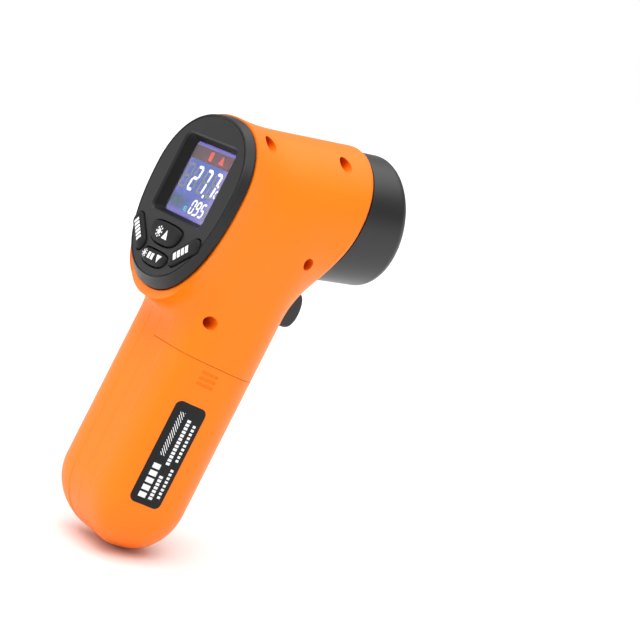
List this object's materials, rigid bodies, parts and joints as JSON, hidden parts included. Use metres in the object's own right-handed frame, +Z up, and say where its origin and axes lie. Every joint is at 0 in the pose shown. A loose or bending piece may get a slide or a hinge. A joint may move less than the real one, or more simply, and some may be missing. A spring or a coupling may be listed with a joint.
{
  "type": "infrared thermometer",
  "caption": "Pistol-grip infrared thermometer with an egg-shaped rear display panel, rubber keys, round front nozzle, finger trigger and slide-off battery cover.",
  "frame": {"origin": "middle of the footprint, at the lowest point of the grip's round end", "axes": "+X the way the nozzle aims, +Y the instrument's left, +Z up with the barrel level"},
  "size_m": [0.0843, 0.0542, 0.1426],
  "materials": {
    "orange": "satin orange moulding",
    "black": "matte black moulding",
    "black_print": "glossy printed film",
    "dark_grey": "fine matte texture",
    "key_rubber": "matte",
    "clear": "clear acrylic",
    "display": "display glass",
    "lens": "optical",
    "white": "matte",
    "board": "solder mask",
    "steel": "bright",
    "brass": "turned",
    "cell": "printed metal sleeve",
    "red_wire": "insulation"
  },
  "bodies": {
    "housing": {"aperture_plate": "black", "backlight": "white", "battery_front": "cell", "battery_lead_negative": "black", "battery_lead_positive": "red_wire", "battery_rear": "cell", "battery_tray": "black", "board_screw_left": "steel", "board_screw_right": "steel", "buzzer": "black", "contact_bridge": "steel", "contact_plate_front": "steel", "contact_plate_rear": "steel", "contact_spring_front": "steel", "contact_spring_rear": "steel", "display_bezel": "dark_grey", "display_glass": "display", "display_window": "clear", "housing_screw_neck_front": "steel", "housing_screw_neck_rear": "steel", "housing_screw_top_front": "steel", "housing_screw_top_rear": "steel", "infrared_lens": "lens", "infrared_sensor": "steel", "keypad_mat": "key_rubber", "laser_lead": "black", "laser_lens": "lens", "laser_module": "brass", "lead_socket": "white", "left_shell": "orange", "lens_retainer": "black", "main_board": "board", "microcontroller": "black", "nozzle": "black", "optical_tube": "black", "right_shell": "orange", "sensor_board": "board", "sensor_lead": "black", "switch_board": "board", "trigger_pin": "steel", "trigger_switch": "black"},
    "trigger_body": {"trigger": "black", "trigger_spring": "steel"},
    "key_up_body": {"key_up": "key_rubber"},
    "key_down_body": {"key_down": "key_rubber"},
    "key_left_body": {"key_left": "key_rubber"},
    "key_right_body": {"key_right": "key_rubber"},
    "cover_body": {"battery_cover": "orange", "label": "black_print"}
  },
  "joints": [
    {"name": "trigger_pull", "type": "hinge", "parent": "housing", "child": "trigger_body", "pos_m": [0.01062, 0, 0.09506], "axis": [0, 1, 0], "range_deg": [0, 6.5], "stiffness_Nm_per_rad": 0.08, "springref_deg": -17.19},
    {"name": "press_key_up", "type": "slide", "parent": "housing", "child": "key_up_body", "axis": [0.9636, 0, -0.2672], "range_m": [0, 0.0008], "stiffness_N_per_m": 800, "springref_m": -0.0006},
    {"name": "press_key_down", "type": "slide", "parent": "housing", "child": "key_down_body", "axis": [0.9636, 0, -0.2672], "range_m": [0, 0.0008], "stiffness_N_per_m": 800, "springref_m": -0.0006},
    {"name": "press_key_left", "type": "slide", "parent": "housing", "child": "key_left_body", "axis": [0.9636, 0, -0.2672], "range_m": [0, 0.0008], "stiffness_N_per_m": 800, "springref_m": -0.0006},
    {"name": "press_key_right", "type": "slide", "parent": "housing", "child": "key_right_body", "axis": [0.9636, 0, -0.2672], "range_m": [0, 0.0008], "stiffness_N_per_m": 800, "springref_m": -0.0006},
    {"name": "battery_cover_slide", "type": "slide", "parent": "housing", "child": "cover_body", "axis": [-0.2672, 0, -0.9636], "range_m": [0, 0.075]}
  ]
}
